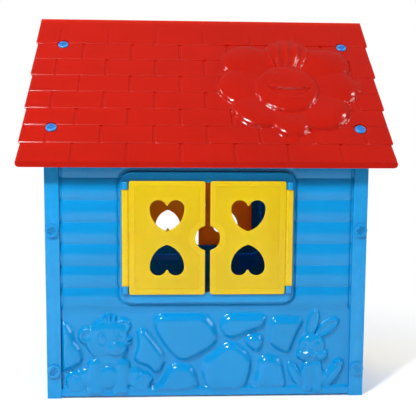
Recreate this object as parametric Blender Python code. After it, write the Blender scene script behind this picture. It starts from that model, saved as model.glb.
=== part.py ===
"""Plastic garden playhouse for small children.

Four wall panels with log siding stand on the ground, two roof panels with
tile courses lie on the gables, and moulded bolts with hexagonal nuts hold the
panels together. Two windows have a pair of shutters with heart cut-outs, and
the doorway has a half door. Shutters and door turn on pins in moulded lugs.

Metres, +Z up. The origin is on the ground under the middle of the house, the
front wall faces -Y and the doorway faces +X.
"""

import bpy
import bmesh
from math import asin, cos, pi, radians, sin, sqrt, tan
from mathutils import Matrix, Vector

# ---------------------------------------------------------------- dimensions
HEIGHT = 1.060            # ground to ridge
ROOF_ANGLE = radians(43.13)
ROOF_HALF_WIDTH = 0.498   # ridge length is twice this
EAVE_Y = 0.4428           # outer face of the eave boards
SKIN = 0.003              # moulded wall thickness
GAP = 0.0003              # air between neighbouring pieces

ROOF_SKIN = 0.0028        # roof thickness where it is thinnest
COURSE_STEP = 0.004       # how far a tile course stands over the next one
COURSE_ENDS = (0.117, 0.190, 0.263, 0.333, 0.403, 0.470, 0.538)
ROOF_SKIRT = 0.0146       # depth of the edge boards, square to the slope
RIDGE_LIP = 0.004         # thickness of the lip that stiffens the ridge
LIP_END = 0.390           # the lip reaches this far from the middle

WALL_TOP = 0.668          # front and back walls, under the eaves
WALL_FOOT = 0.005         # panels between the pillars clear the ground
PILLAR_FACE = 0.404       # distance of the pillars' faces from the middle
PILLAR_OUT = 0.4305       # half the width over the pillars
PILLAR_WIDTH = 0.038
PILLAR_RETURN = 0.372     # the pillars' sides reach back to here

SIDING_BASE = 0.394       # front and back walls, bottom of the creases
GABLE_BASE = 0.4205       # gables, bottom of the creases
LOG_BULGE = 0.008
LOG_PITCH = 0.0592
LOGS_FROM = 0.244         # the stone courses end and the logs begin
LEDGE_TOP = 0.025
RAIL_DEPTH = 0.012        # rail along the gables' tops, for the roof bolts

WINDOW_HALF = 0.2045      # window opening
WINDOW_Z = (0.292, 0.588)
FRAME_RISE = 0.015        # window and door frames stand over the creases
FRAME_MARGIN = 0.028

SHUTTER_THICK = 0.006
SHUTTER_GAP = 0.0067      # half the gap between two shutters
HINGE_OFFSET = 0.0185     # hinge axis from the bottom of the creases
HINGE_INSET = 0.0145      # hinge axis from the edge of the opening
BARREL_R = 0.009
PIN_R = 0.003
PIN_HOLE_R = 0.0033
PIN_LENGTH = 0.012
LUG_R = 0.0095
LUG_LENGTH = 0.0278
LUG_DEPTH = 0.016         # from the hinge axis back into the wall
CHANNEL_HALF = 0.0096
CHANNEL_DEPTH = 0.010
LEAF_Z = (0.2877, 0.592)  # foot and top of the shutters
LEAF_CORNER = 0.006
LEAF_TO_AXIS = 0.0105     # a leaf's edge stops this far from its hinge axis
WEB_LAP = 0.004           # the hinge's web reaches this far into the leaf
HAND_R = 0.033            # round hand hole where the shutters meet
HAND_Z = 0.440
HEART_X = 0.108           # hearts, from the middle of the window
HEART_Z = ((0.4998, 1), (0.3812, -1))   # centre, and 1 where the tip points down
HEART_HALF = 0.0458
HEART_TIP = 0.0415        # from the heart's centre to its tip
LOBE = (0.0233, 0.0195)   # centre of a heart's round lobe

DOOR_HALF = 0.165         # doorway
DOOR_SILL = 0.075
DOOR_SPRING = 0.600       # the round arch starts here
DOOR_LEAF_TOP = 0.455
DOOR_LEAF_LAP = 0.0045    # the closed leaf laps over the door frame
DOOR_CORNER = 0.012
DOOR_HEART_Z = 0.330

BOLT_X = 0.412            # wall bolts, on the pillars
BOLT_Z = (0.078, 0.460)
ROOF_BOLT_X = 0.418
ROOF_BOLT_S = (0.124, 0.481)   # down the slope from the ridge
ROOF_SEAT = 0.0045        # floor of the recess under a roof bolt's head
SEAT_R = 0.0185
HEAD_R = 0.0145
HEAD_RISE = 0.008
SHANK_R = 0.004
HOLE_R = 0.0043
NUT_ACROSS = 0.013
NUT_HEIGHT = 0.0065
NUT_SPARE = 0.002         # the shank passes the nut by this

FAR = 0.5                 # cutters end outside the house
BORE = 0.015              # cutters for bolt holes reach this far both ways
BURY = 0.0005             # overlap of features that are one moulding


# ------------------------------------------------------------------- helpers
def plastic(name, color, roughness):
    """A moulded plastic with a linear colour."""
    material = bpy.data.materials.new(name)
    material.use_nodes = True
    shader = material.node_tree.nodes["Principled BSDF"]
    shader.inputs["Base Color"].default_value = (*color, 1.0)
    shader.inputs["Roughness"].default_value = roughness
    shader.inputs["Metallic"].default_value = 0.0
    return material


def add_object(name, bm):
    """Turn a bmesh into a scene object with outward faces."""
    bmesh.ops.recalc_face_normals(bm, faces=bm.faces)
    mesh = bpy.data.meshes.new(name)
    bm.to_mesh(mesh)
    bm.free()
    obj = bpy.data.objects.new(name, mesh)
    bpy.context.collection.objects.link(obj)
    return obj


def prism(name, outline, axis, low, high):
    """Extrude a closed outline along X, Y or Z.

    The outline's two coordinates are the other two axes in X, Y, Z order.
    """
    slot = "XYZ".index(axis)

    def place(point, along):
        spot = list(point)
        spot.insert(slot, along)
        return spot

    bm = bmesh.new()
    face = bm.faces.new([bm.verts.new(place(p, low)) for p in outline])
    swept = bmesh.ops.extrude_face_region(bm, geom=[face])["geom"]
    moved = [v for v in swept if isinstance(v, bmesh.types.BMVert)]
    bmesh.ops.translate(bm, verts=moved, vec=place((0, 0), high - low))
    return add_object(name, bm)


def block(x, y, z):
    """A rectangular block from its three (low, high) spans."""
    outline = [(x[0], y[0]), (x[1], y[0]), (x[1], y[1]), (x[0], y[1])]
    return prism("block", outline, "Z", *z)


def circle(center, radius, steps):
    return [(center[0] + radius * cos(2 * pi * k / steps),
             center[1] + radius * sin(2 * pi * k / steps)) for k in range(steps)]


def rounded(x, z, radius, steps=4):
    """Rounded rectangle from its two spans."""
    corners = [(x[1] - radius, z[1] - radius, 0), (x[0] + radius, z[1] - radius, 1),
               (x[0] + radius, z[0] + radius, 2), (x[1] - radius, z[0] + radius, 3)]
    return [(cx + radius * cos((turn + k / steps) * pi / 2),
             cz + radius * sin((turn + k / steps) * pi / 2))
            for cx, cz, turn in corners for k in range(steps + 1)]


def combine(target, tool, operation):
    """Apply an exact boolean and drop the tool."""
    cut = target.modifiers.new(operation.title(), "BOOLEAN")
    cut.operation = operation
    cut.solver = "EXACT"
    cut.object = tool
    depsgraph = bpy.context.evaluated_depsgraph_get()
    mesh = bpy.data.meshes.new_from_object(target.evaluated_get(depsgraph))
    target.modifiers.clear()
    target.data = mesh
    bpy.data.objects.remove(tool)
    return target


def finish(obj, name, material, pivot=(0, 0, 0)):
    """Name the piece, put its origin on its pivot, shade it and colour it."""
    obj.name = name
    mesh = obj.data
    mesh.name = name
    mesh.transform(Matrix.Translation(-Vector(pivot)))
    obj.location = pivot
    mesh.materials.clear()
    mesh.materials.append(material)
    mesh.shade_smooth()
    mesh.set_sharp_from_angle(angle=radians(32))
    return obj


def copy_turned(obj, name):
    """The same moulding on the other side of the house."""
    twin = obj.copy()
    twin.name = name
    twin.matrix_world = Matrix.Rotation(pi, 4, "Z") @ obj.matrix_basis
    bpy.context.collection.objects.link(twin)
    return twin


def slope_point(s, n):
    """(y, z) on the front slope: s down from the ridge, n out of the roof."""
    return (-s * cos(ROOF_ANGLE) - n * sin(ROOF_ANGLE),
            HEIGHT - s * sin(ROOF_ANGLE) + n * cos(ROOF_ANGLE))


def slope_height(y, n):
    """Height at distance y from the middle of a line n out of the roof."""
    return HEIGHT - y * tan(ROOF_ANGLE) + n / cos(ROOF_ANGLE)


# ------------------------------------------------------------ siding profile
def siding_outline(base, top):
    """Closed (distance, z) section of a wall: ledge, stone ground, logs."""
    outer = [(base + LOG_BULGE, WALL_FOOT), (base + LOG_BULGE, LEDGE_TOP),
             (base, LEDGE_TOP + 0.003), (base, LOGS_FROM)]
    inner = [(base - SKIN, WALL_FOOT), (base - SKIN, LOGS_FROM)]
    steps = 4
    count = int((top - LOGS_FROM) / LOG_PITCH) + 1
    for log in range(count):
        for k in range(1, steps + 1):
            t = k / steps
            z = LOGS_FROM + (log + t) * LOG_PITCH
            rise = LOG_BULGE * 4 * t * (1 - t)
            outer.append((base + rise, z))
            inner.append((base - SKIN + rise, z))
    return outer + inner[::-1]


# -------------------------------------------------------------- hinge module
def barrel(axis, z_low, z_high, web):
    """Hinge barrel with a pin at each end; web joins it to its leaf."""
    body = prism("barrel", circle(axis, BARREL_R, 20), "Z", z_low, z_high)
    pin = prism("pin", circle(axis, PIN_R, 12), "Z", z_low - PIN_LENGTH, z_high + PIN_LENGTH)
    combine(body, pin, "UNION")
    return combine(body, web, "UNION")


def hinge_seat(wall, axis, z_low, z_high, back, channel):
    """Cut the barrel's channel and add its two lugs with their pin holes.

    back points from the axis into the wall; channel is the (x, y) spans.
    """
    combine(wall, block(*channel, (z_low - LUG_LENGTH, z_high + LUG_LENGTH)), "DIFFERENCE")
    reach = LUG_DEPTH * back
    x_span = (axis[0] + min(reach.x, -LUG_R * abs(back.y)),
              axis[0] + max(reach.x, LUG_R * abs(back.y)))
    y_span = (axis[1] + min(reach.y, -LUG_R * abs(back.x)),
              axis[1] + max(reach.y, LUG_R * abs(back.x)))
    for z in (z_low - LUG_LENGTH - GAP, z_high + GAP):
        lug = prism("lug", circle(axis, LUG_R, 20), "Z", z, z + LUG_LENGTH)
        combine(lug, block(x_span, y_span, (z, z + LUG_LENGTH)), "UNION")
        combine(wall, lug, "UNION")
    hole = prism("hole", circle(axis, PIN_HOLE_R, 12), "Z",
                 z_low - 1.5 * LUG_LENGTH, z_high + 1.5 * LUG_LENGTH)
    return combine(wall, hole, "DIFFERENCE")


# --------------------------------------------------------- front, back walls
HINGE_X = WINDOW_HALF + HINGE_INSET
HINGE_Y = -(SIDING_BASE + HINGE_OFFSET)
WINDOW_BARREL = (0.3108, 0.5692)


def long_wall():
    """Front wall panel: log siding between two corner pillars, a window."""
    half = PILLAR_OUT - PILLAR_WIDTH + SKIN - 0.001
    section = [(-d, z) for d, z in siding_outline(SIDING_BASE, WALL_TOP)]
    wall = prism("wall", section, "X", -half, half)
    trim = block((-FAR, FAR), (-FAR, 0), (WALL_TOP, HEIGHT))
    combine(wall, trim, "DIFFERENCE")

    # Corner pillars: channels open towards the inside, with a foot plate.
    inner = PILLAR_OUT - PILLAR_WIDTH
    channel = [(inner, -PILLAR_FACE), (PILLAR_OUT, -PILLAR_FACE),
               (PILLAR_OUT, -PILLAR_RETURN), (PILLAR_OUT - SKIN, -PILLAR_RETURN),
               (PILLAR_OUT - SKIN, SKIN - PILLAR_FACE), (inner + SKIN, SKIN - PILLAR_FACE),
               (inner + SKIN, SKIN - SIDING_BASE), (inner, SKIN - SIDING_BASE)]
    for side in (-1, 1):
        outline = [(side * x, y) for x, y in channel]
        combine(wall, prism("pillar", outline, "Z", 0, WALL_TOP), "UNION")
        span = sorted((side * inner, side * PILLAR_OUT))
        foot = block(span, (-PILLAR_FACE, -PILLAR_RETURN), (0, SKIN))
        combine(wall, foot, "UNION")

    # Window frame and opening.
    edge = WINDOW_HALF + FRAME_MARGIN
    z_span = (WINDOW_Z[0] - FRAME_MARGIN, WINDOW_Z[1] + FRAME_MARGIN)
    frame = prism("frame", rounded((-edge, edge), z_span, 0.030), "Y",
                  -SIDING_BASE - FRAME_RISE, -SIDING_BASE + SKIN)
    combine(wall, frame, "UNION")
    opening = block((-WINDOW_HALF, WINDOW_HALF), (-FAR, 0), WINDOW_Z)
    combine(wall, opening, "DIFFERENCE")
    for side in (-1, 1):
        x_span = sorted((side * WINDOW_HALF, side * (HINGE_X + CHANNEL_HALF)))
        y_span = (HINGE_Y - CHANNEL_DEPTH, HINGE_Y + CHANNEL_DEPTH)
        hinge_seat(wall, (side * HINGE_X, HINGE_Y), *WINDOW_BARREL, Vector((0, 1)),
                   (x_span, y_span))

    # Bolt holes in the pillars' faces.
    for side in (-1, 1):
        for z in BOLT_Z:
            hole = prism("hole", circle((side * BOLT_X, z), HOLE_R, 12), "Y",
                         -PILLAR_FACE - BORE, -PILLAR_FACE + BORE)
            combine(wall, hole, "DIFFERENCE")
    return wall


# -------------------------------------------------------------------- gables
def gable(doorway):
    """Gable facing +X, with flanges for the roof and the corner pillars."""
    section = siding_outline(GABLE_BASE, HEIGHT)
    half = PILLAR_RETURN - BURY
    wall = prism("gable", section, "Y", -half, half)
    top = -(ROOF_SKIN + COURSE_STEP + GAP)
    reach = PILLAR_FACE - SKIN - GAP
    pentagon = [(-FAR, -BORE), (FAR, -BORE), (FAR, slope_height(FAR, top)),
                (0, slope_height(0, top)), (-FAR, slope_height(FAR, top))]
    combine(wall, prism("cut", pentagon, "X", 0, FAR), "INTERSECT")

    # Flange under the roof along both slopes, with a thicker rail for the bolts.
    inner_x = PILLAR_OUT - PILLAR_WIDTH + SKIN + 0.0015
    outer_x = PILLAR_OUT - 0.001
    for length, above, below, x_span in (
            (reach, top, top - SKIN, (inner_x, outer_x)),
            (half - 2 * BURY, top - BURY, top - RAIL_DEPTH, (inner_x + BURY, outer_x - BURY))):
        chevron = [(-length, slope_height(length, above)), (0, slope_height(0, above)),
                   (length, slope_height(length, above)), (length, slope_height(length, below)),
                   (0, slope_height(0, below)), (-length, slope_height(length, below))]
        combine(wall, prism("flange", chevron, "X", *x_span), "UNION")

    # Corner laps: a rib at the siding's end, a step in, and a bolting flange.
    lap_x = PILLAR_OUT - SKIN - GAP
    z_span = (WALL_FOOT, WALL_TOP)
    for side in (-1, 1):
        rib = sorted((side * (half - SKIN), side * half))
        combine(wall, block((GABLE_BASE - SKIN, GABLE_BASE + LOG_BULGE), rib, z_span), "UNION")
        lap = sorted((side * (half - SKIN), side * reach))
        combine(wall, block((lap_x - SKIN, lap_x), lap, z_span), "UNION")
        flange = sorted((side * (reach - SKIN), side * reach))
        combine(wall, block((inner_x, lap_x), flange, z_span), "UNION")
        for z in BOLT_Z:
            hole = prism("hole", circle((BOLT_X, z), HOLE_R, 12), "Y",
                         side * PILLAR_FACE - BORE, side * PILLAR_FACE + BORE)
            combine(wall, hole, "DIFFERENCE")

    # Blind holes for the roof bolts, square to the slopes.
    floor = top - RAIL_DEPTH + 4 * BURY
    for side in (-1, 1):
        for s in ROOF_BOLT_S:
            hole = prism("hole", circle((0, 0), HOLE_R, 12), "Z", floor, 0.0)
            hole.matrix_world = roof_bolt_place(ROOF_BOLT_X, s, side)
            combine(wall, hole, "DIFFERENCE")
    return door_frame(wall) if doorway else wall


def arch(half, sill, spring, steps=16):
    """Doorway outline with a round head, as (y, z)."""
    return [(-half, sill), (half, sill)] + [
        (half * cos(pi * k / steps), spring + half * sin(pi * k / steps))
        for k in range(steps + 1)]


DOOR_BARREL = (0.110, 0.420)
DOOR_AXIS = (GABLE_BASE + HINGE_OFFSET, -DOOR_HALF - HINGE_INSET)


def door_frame(wall):
    """Arched frame, opening and hinge lugs, in a gable facing +X."""
    outer = arch(DOOR_HALF + FRAME_MARGIN, DOOR_SILL - FRAME_MARGIN, DOOR_SPRING)
    frame = prism("frame", outer, "X", GABLE_BASE - SKIN, GABLE_BASE + FRAME_RISE)
    combine(wall, frame, "UNION")
    opening = prism("opening", arch(DOOR_HALF, DOOR_SILL, DOOR_SPRING), "X", 0, FAR)
    combine(wall, opening, "DIFFERENCE")
    x, y = DOOR_AXIS
    return hinge_seat(wall, DOOR_AXIS, *DOOR_BARREL, Vector((-1, 0)),
                      ((x - CHANNEL_DEPTH, x + CHANNEL_DEPTH), (y - CHANNEL_HALF, -DOOR_HALF)))


# ---------------------------------------------------------------------- roof
def roof_bolt_place(x, s, side):
    """Frame of a roof bolt: its Z axis points out of the slope."""
    y, z = slope_point(s, 0)
    turn = Matrix.Rotation(ROOF_ANGLE, 4, "X")
    place = Matrix.Translation((x, y, z)) @ turn
    return place if side < 0 else Matrix.Scale(-1, 4, (0, 1, 0)) @ place


def roof_panel():
    """Front roof panel: stepped courses over a tray with edge boards all round."""
    body = [(-GAP, slope_height(GAP, 0))]
    for s in COURSE_ENDS:
        body += [slope_point(s, 0), slope_point(s, -COURSE_STEP)]
    body += [(-EAVE_Y, slope_height(EAVE_Y, 0)), (-EAVE_Y, slope_height(EAVE_Y, -ROOF_SKIRT)),
             (-GAP, slope_height(GAP, -ROOF_SKIRT))]
    panel = prism("roof", body, "X", -ROOF_HALF_WIDTH, ROOF_HALF_WIDTH)

    def hollow(n, eave, ridge, x_span):
        """Cut away what lies under a line n below the tiles."""
        outline = [(-eave, slope_height(eave, n)), (-ridge, slope_height(ridge, n)),
                   (-ridge, FAR), (-eave, FAR)]
        combine(panel, prism("hollow", outline, "X", *x_span), "DIFFERENCE")

    deep = -(ROOF_SKIN + COURSE_STEP)
    inner_x = ROOF_HALF_WIDTH - SKIN
    hollow(deep, EAVE_Y - SKIN, RIDGE_LIP, (-inner_x, inner_x))
    for side in (-1, 1):
        # The lip at the ridge stops short of the gables.
        hollow(deep - GAP / 2, 2 * BORE, -BORE,
               sorted((side * LIP_END, side * (inner_x - 2 * BURY))))
        for s in ROOF_BOLT_S:
            for radius, floor, steps in ((SEAT_R, -ROOF_SEAT, 24), (HOLE_R, -2 * BORE, 12)):
                tool = prism("hole", circle((0, 0), radius, steps), "Z", floor, BORE)
                tool.matrix_world = roof_bolt_place(side * ROOF_BOLT_X, s, -1)
                combine(panel, tool, "DIFFERENCE")
    return panel


# -------------------------------------------------------------------- leaves
def heart(center, up=1, steps=9):
    """Heart outline from arcs; up is -1 for a heart that stands on its lobes.

    A lobe is a circle, and a long arc runs from its side to the blunt tip.
    """
    lobe_r = HEART_HALF - LOBE[0]
    drop = LOBE[1] + HEART_TIP
    side_r = (HEART_HALF ** 2 + drop ** 2) / (2 * HEART_HALF)
    tip_turn = asin(drop / side_r)
    half = [(LOBE[0] + lobe_r * cos(turn), LOBE[1] + lobe_r * sin(turn))
            for turn in (radians(160) * (1 - k / steps) for k in range(steps))]
    half += [(HEART_HALF - side_r + side_r * cos(turn), LOBE[1] - side_r * sin(turn))
             for turn in (tip_turn * k / steps for k in range(steps))]
    outline = [(0, LOBE[1] + lobe_r * sin(radians(160)))] + half + [(0, -HEART_TIP)]
    outline += [(-x, z) for x, z in reversed(half)]
    return [(center[0] + x, center[1] + up * z) for x, z in outline]


def shutter(side):
    """Front shutter on the left (-1) or right (1), with its hinge barrel."""
    outer_x = HINGE_X - LEAF_TO_AXIS
    y_span = (HINGE_Y - SHUTTER_THICK / 2, HINGE_Y + SHUTTER_THICK / 2)
    x_span = sorted((side * SHUTTER_GAP, side * outer_x))
    leaf = prism("leaf", rounded(x_span, LEAF_Z, LEAF_CORNER, 2), "Y", *y_span)
    hole = prism("hole", circle((0, HAND_Z), HAND_R, 36), "Y", -FAR, 0)
    combine(leaf, hole, "DIFFERENCE")
    for z, up in HEART_Z:
        cut = prism("heart", heart((side * HEART_X, z), up), "Y", -FAR, 0)
        combine(leaf, cut, "DIFFERENCE")
    web = block(sorted((side * HINGE_X, side * (outer_x - WEB_LAP))), y_span, WINDOW_BARREL)
    hinge = barrel((side * HINGE_X, HINGE_Y), *WINDOW_BARREL, web)
    return combine(leaf, hinge, "UNION")


def half_door():
    """Half door on the +X gable, hinged at its -Y edge, with one heart."""
    x, y = DOOR_AXIS
    half = SHUTTER_THICK / 2
    y_span = (y + LEAF_TO_AXIS, DOOR_HALF + DOOR_LEAF_LAP)
    z_span = (DOOR_SILL - DOOR_LEAF_LAP, DOOR_LEAF_TOP)
    leaf = prism("leaf", rounded(y_span, z_span, DOOR_CORNER, 3), "X", x - half, x + half)
    combine(leaf, prism("heart", heart((0, DOOR_HEART_Z)), "X", 0, FAR), "DIFFERENCE")
    web = block((x - half, x + half), (y, y + LEAF_TO_AXIS + WEB_LAP), DOOR_BARREL)
    return combine(leaf, barrel(DOOR_AXIS, *DOOR_BARREL, web), "UNION")


# ----------------------------------------------------------------- fasteners
def bolt_mesh(length):
    """Domed bolt along -Z with its head's seat at z = 0, as a turned profile."""
    steps = 16
    profile = [(HEAD_R, 0.0), (HEAD_R, 0.0035), (HEAD_R * 0.82, 0.0065),
               (HEAD_R * 0.45, HEAD_RISE)]
    bm = bmesh.new()
    rings = [[bm.verts.new((r * cos(2 * pi * k / steps), r * sin(2 * pi * k / steps), z))
              for k in range(steps)]
             for r, z in [(SHANK_R, -length), (SHANK_R, 0.0)] + profile]
    for low, high in zip(rings, rings[1:]):
        for k in range(steps):
            bm.faces.new((low[k], low[k - 1], high[k - 1], high[k]))
    bm.faces.new(rings[0])
    bm.faces.new(rings[-1])
    bmesh.ops.recalc_face_normals(bm, faces=bm.faces)
    mesh = bpy.data.meshes.new("bolt")
    bm.to_mesh(mesh)
    bm.free()
    return mesh


def nut_mesh():
    """Hexagonal nut from z = 0 down, with a clear bore."""
    nut = prism("nut", circle((0, 0), NUT_ACROSS / sqrt(3), 6), "Z", -NUT_HEIGHT, 0)
    combine(nut, prism("bore", circle((0, 0), HOLE_R, 12), "Z", -BORE, BORE), "DIFFERENCE")
    mesh = nut.data
    bpy.data.objects.remove(nut)
    return mesh


def place_copy(name, mesh, place):
    """Place one fastener; equal fasteners share a mesh."""
    obj = bpy.data.objects.new(name, mesh)
    obj.matrix_world = place
    bpy.context.collection.objects.link(obj)


# --------------------------------------------------------------------- build
for old in list(bpy.data.objects):
    bpy.data.objects.remove(old)

blue = plastic("blue_plastic", (0.008, 0.314, 0.701), 0.35)
red = plastic("red_plastic", (0.610, 0.014, 0.004), 0.35)
yellow = plastic("yellow_plastic", (0.760, 0.565, 0.002), 0.35)
bolt_blue = plastic("bolt_plastic", (0.040, 0.220, 0.640), 0.30)
nut_grey = plastic("nut_plastic", (0.400, 0.420, 0.440), 0.45)

front_wall = finish(long_wall(), "front_wall", blue)
copy_turned(front_wall, "back_wall")
finish(gable(True), "gable_right", blue)
left = finish(gable(False), "gable_left", blue)
left.matrix_world = Matrix.Rotation(pi, 4, "Z")

roof_front = finish(roof_panel(), "roof_front", red)
copy_turned(roof_front, "roof_back")

for word, side, opposite in (("left", -1, "right"), ("right", 1, "left")):
    pivot = (side * HINGE_X, HINGE_Y, HAND_Z)
    leaf = finish(shutter(side), f"shutter_front_{word}", yellow, pivot)
    copy_turned(leaf, f"shutter_back_{opposite}")
finish(half_door(), "half_door", yellow, (*DOOR_AXIS, sum(DOOR_BARREL) / 2))

wall_grip = 2 * SKIN + 2 * GAP
roof_grip = ROOF_SKIN + COURSE_STEP - ROOF_SEAT + GAP
wall_bolt = bolt_mesh(wall_grip + NUT_HEIGHT + NUT_SPARE)
roof_bolt = bolt_mesh(roof_grip + RAIL_DEPTH - SKIN)
nut = nut_mesh()
for mesh, material in ((wall_bolt, bolt_blue), (roof_bolt, bolt_blue), (nut, nut_grey)):
    mesh.materials.append(material)
    mesh.shade_smooth()
    mesh.set_sharp_from_angle(angle=radians(32))

half_turn = Matrix.Rotation(pi, 4, "Z")
seat_down = Matrix.Translation((0, 0, -wall_grip - GAP))
for word, opposite, side in (("left", "right", -1), ("right", "left", 1)):
    for level, z, s in (("low", BOLT_Z[0], ROOF_BOLT_S[1]), ("high", BOLT_Z[1], ROOF_BOLT_S[0])):
        on_wall = Matrix.Translation((side * BOLT_X, -PILLAR_FACE - GAP, z)) \
            @ Matrix.Rotation(pi / 2, 4, "X")
        on_roof = roof_bolt_place(side * ROOF_BOLT_X, s, -1) \
            @ Matrix.Translation((0, 0, GAP - ROOF_SEAT))
        for face, way, turn in (("front", word, Matrix()), ("back", opposite, half_turn)):
            place_copy(f"wall_bolt_{face}_{way}_{level}", wall_bolt, turn @ on_wall)
            place_copy(f"wall_nut_{face}_{way}_{level}", nut, turn @ on_wall @ seat_down)
            place_copy(f"roof_bolt_{face}_{way}_{level}", roof_bolt, turn @ on_roof)
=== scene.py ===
# %% [markdown]
# # Moulded playhouse
# The real house is a kit of thin polyethylene mouldings: four walls, two roof
# trays, four shutters and a half door, held together by big plastic bolts.
# The rigid frame comes from the CAD model. Each moulding is modelled again
# here with its real surface: boards, stones, animals, tiles and a flower.

from math import asin, cos, pi, radians, sin, tan

import bpy
import numpy as np
from mathutils import Matrix, Vector


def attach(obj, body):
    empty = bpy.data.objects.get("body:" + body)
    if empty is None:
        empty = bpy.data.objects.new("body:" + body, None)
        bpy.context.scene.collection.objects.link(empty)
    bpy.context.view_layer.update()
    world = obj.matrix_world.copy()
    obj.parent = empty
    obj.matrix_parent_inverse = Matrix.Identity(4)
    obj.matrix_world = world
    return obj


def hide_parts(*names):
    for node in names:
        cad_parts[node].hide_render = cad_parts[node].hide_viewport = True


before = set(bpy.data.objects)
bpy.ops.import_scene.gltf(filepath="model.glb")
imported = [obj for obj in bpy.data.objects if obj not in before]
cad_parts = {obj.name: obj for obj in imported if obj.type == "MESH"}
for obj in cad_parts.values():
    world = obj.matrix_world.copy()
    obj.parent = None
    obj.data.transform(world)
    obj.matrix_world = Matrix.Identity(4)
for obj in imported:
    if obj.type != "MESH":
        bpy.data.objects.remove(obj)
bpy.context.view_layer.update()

# %% [markdown]
# A moulding is best modelled like its tool: a sheet whose height is drawn over
# a grid, and a plain inner side. These helpers soften a step, lay out grid
# lines that are close together where detail is small, and raise the sheet. It
# starts from Blender's grid primitive, whose vertices are moved in code,
# because a sculpted surface has no single edit-mode operator. Extruding the
# sheet gives the inner side, and a limited dissolve leaves few faces there.

# %% Sheet helpers
# Every grid pitch below is stretched by this: lower is finer and slower.
PITCH = 1.6  # stretches every grid pitch below: lower is finer and slower


def smooth(low, high, x):
    """0 below low, 1 above high, with an eased ramp between."""
    t = np.clip((x - low) / (high - low), 0, 1)
    return t * t * (3 - 2 * t)


def lines(*stops):
    """Grid lines from (place, pitch up to the next place) pairs."""
    out = []
    for (a, pitch), (b, _) in zip(stops, stops[1:]):
        count = max(1, round((b - a) / (pitch * PITCH)))
        out.extend(a + (b - a) * np.arange(count) / count)
    return np.array(out + [stops[-1][0]])


def coordinates(mesh):
    co = np.empty(len(mesh.vertices) * 3)
    mesh.vertices.foreach_get("co", co)
    return co.reshape(-1, 3)


def raise_sheet(name, us, vs, relief, place):
    """Grid primitive with a vertex on each crossing, placed from its relief."""
    height = relief(*np.meshgrid(us, vs, indexing="ij"))
    middle = height[1:-1, 1:-1]
    height[1:-1, 1:-1] = middle / 2 + (height[:-2, 1:-1] + height[2:, 1:-1]
                                       + height[1:-1, :-2] + height[1:-1, 2:]) / 8
    bpy.ops.object.select_all(action="DESELECT")
    bpy.ops.mesh.primitive_grid_add(x_subdivisions=len(us) - 1,
                                    y_subdivisions=len(vs) - 1, size=1)
    obj = bpy.context.object
    obj.name = name
    co = coordinates(obj.data)
    i = np.rint((co[:, 0] + 0.5) * (len(us) - 1)).astype(int)
    j = np.rint((co[:, 1] + 0.5) * (len(vs) - 1)).astype(int)
    placed = np.column_stack(place(us[i], vs[j], height[i, j]))
    obj.data.vertices.foreach_set("co", placed.ravel())
    obj.data.update()
    return obj


def face_outward():
    """In edit mode: select everything and turn its faces outward."""
    bpy.ops.mesh.select_all(action="SELECT")
    bpy.ops.mesh.normals_make_consistent(inside=False)


def thicken(obj, way):
    """Extrude a whole sheet along a vector, so that it becomes a closed shell."""
    bpy.ops.object.mode_set(mode="EDIT")
    bpy.ops.mesh.select_all(action="SELECT")
    bpy.ops.mesh.extrude_region_move(TRANSFORM_OT_translate={"value": way})
    bpy.ops.object.mode_set(mode="OBJECT")
    return obj


def back_sheet(obj, lay):
    """Give a raised sheet its plain inner side; lay places that side's points."""
    thicken(obj, (0, 0, 0))
    mesh = obj.data
    inner = np.empty(len(mesh.vertices), bool)
    mesh.vertices.foreach_get("select", inner)
    co = coordinates(mesh)
    co[inner] = lay(co[inner])
    mesh.vertices.foreach_set("co", co.ravel())
    mesh.update()
    bpy.ops.object.mode_set(mode="EDIT")
    bpy.ops.mesh.remove_doubles(threshold=0.00001)
    bpy.ops.mesh.dissolve_limited(angle_limit=radians(0.5))
    face_outward()
    bpy.ops.object.mode_set(mode="OBJECT")
    return obj


# %% [markdown]
# Frames, pillars and leaves are flat pieces with a drawn outline. The circle
# primitive gives a filled face with as many corners as the outline, the
# corners are put in place, and the face is extruded. Moulded edges are never
# sharp, so a small bevel finishes them. Pieces are fused with the manifold
# boolean, which is quick on closed shells.

# %% Plate helpers
def activate(obj):
    bpy.ops.object.select_all(action="DESELECT")
    obj.select_set(True)
    bpy.context.view_layer.objects.active = obj


def soften(obj, width, segments=2, angle=35):
    """Round every edge that is sharper than the angle."""
    activate(obj)
    bevel = obj.modifiers.new("soft edges", "BEVEL")
    bevel.width, bevel.segments = width, segments
    bevel.limit_method, bevel.angle_limit = "ANGLE", radians(angle)
    bevel.use_clamp_overlap = True
    bpy.ops.object.modifier_apply(modifier=bevel.name)
    return obj


def plate(name, outline, axis, low, high, edge=0.0, segments=2):
    """Closed outline in the other two axes, extruded along X, Y or Z."""
    slot = "XYZ".index(axis)
    bpy.ops.object.select_all(action="DESELECT")
    bpy.ops.mesh.primitive_circle_add(vertices=len(outline), fill_type="NGON")
    obj = bpy.context.object
    obj.name = name
    for vertex, point in zip(obj.data.vertices, outline):
        spot = list(point)
        spot.insert(slot, low)
        vertex.co = spot
    way = [0.0, 0.0, 0.0]
    way[slot] = high - low
    thicken(obj, way)
    bpy.ops.object.mode_set(mode="EDIT")
    face_outward()
    bpy.ops.object.mode_set(mode="OBJECT")
    return soften(obj, edge, segments) if edge else obj


def fuse(target, tool, operation="UNION"):
    """Join or cut one closed piece with another, and drop the tool."""
    activate(target)
    cut = target.modifiers.new("fuse", "BOOLEAN")
    cut.operation, cut.solver, cut.object = operation, "MANIFOLD", tool
    bpy.ops.object.modifier_apply(modifier=cut.name)
    bpy.data.objects.remove(tool)
    return target


def fuse_all(target, tools, operation="UNION"):
    """Join the small tools first, so that the big sheet is cut only once."""
    for tool in tools[1:]:
        fuse(tools[0], tool)
    return fuse(target, tools[0], operation)


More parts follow.
